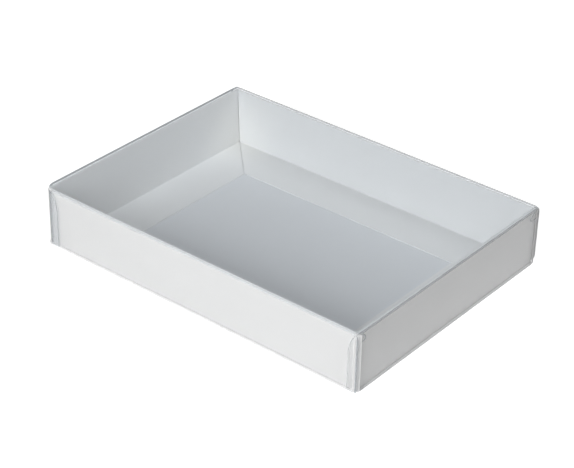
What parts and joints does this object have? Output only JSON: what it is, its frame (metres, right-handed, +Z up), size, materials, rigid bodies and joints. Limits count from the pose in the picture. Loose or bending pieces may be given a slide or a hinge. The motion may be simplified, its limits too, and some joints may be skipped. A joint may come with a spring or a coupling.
{
  "type": "hamper box",
  "caption": "Shallow rectangular hamper box: a folded white board tray with rolled-over double walls and mitred floor flaps, under a folded clear lid that lifts off.",
  "frame": {"origin": "on the ground, under the middle of the box's footprint", "axes": "+X along the long walls to the right, +Y from the front long wall to the back one, +Z up"},
  "size_m": [0.2996, 0.2226, 0.0486],
  "materials": {
    "tray_board": "satin white coating over paperboard",
    "lid_sheet": "clear glossy folded sheet"
  },
  "bodies": {
    "tray": {"floor_panel": "tray_board", "front_outer_wall": "tray_board", "front_rim": "tray_board", "front_inner_wall": "tray_board", "right_outer_wall": "tray_board", "right_rim": "tray_board", "right_inner_wall": "tray_board", "back_outer_wall": "tray_board", "back_rim": "tray_board", "back_inner_wall": "tray_board", "left_outer_wall": "tray_board", "left_rim": "tray_board", "left_inner_wall": "tray_board", "front_left_corner_tab": "tray_board", "front_right_corner_tab": "tray_board", "back_left_corner_tab": "tray_board", "back_right_corner_tab": "tray_board"},
    "lid": {"lid_top": "lid_sheet", "lid_front_skirt": "lid_sheet", "lid_right_skirt": "lid_sheet", "lid_back_skirt": "lid_sheet", "lid_left_skirt": "lid_sheet", "lid_front_left_tab": "lid_sheet", "lid_front_right_tab": "lid_sheet", "lid_back_left_tab": "lid_sheet", "lid_back_right_tab": "lid_sheet"},
    "front_flap": {"front_floor_flap": "tray_board"},
    "right_flap": {"right_floor_flap": "tray_board"},
    "back_flap": {"back_floor_flap": "tray_board"},
    "left_flap": {"left_floor_flap": "tray_board"}
  },
  "joints": [
    {"name": "lid_lift", "type": "slide", "parent": "tray", "child": "lid", "axis": [0, 0, 1], "range_m": [0, 0.07]},
    {"name": "front_flap_crease", "type": "hinge", "parent": "tray", "child": "front_flap", "pos_m": [0, -0.1049, 0.0013], "axis": [1, 0, 0], "range_deg": [0, 90]},
    {"name": "right_flap_crease", "type": "hinge", "parent": "tray", "child": "right_flap", "pos_m": [0.1411, 0, 0.0013], "axis": [0, 1, 0], "range_deg": [0, 90]},
    {"name": "back_flap_crease", "type": "hinge", "parent": "tray", "child": "back_flap", "pos_m": [0, 0.1049, 0.0013], "axis": [-1, 0, 0], "range_deg": [0, 90]},
    {"name": "left_flap_crease", "type": "hinge", "parent": "tray", "child": "left_flap", "pos_m": [-0.1411, 0, 0.0013], "axis": [0, -1, 0], "range_deg": [0, 90]}
  ]
}
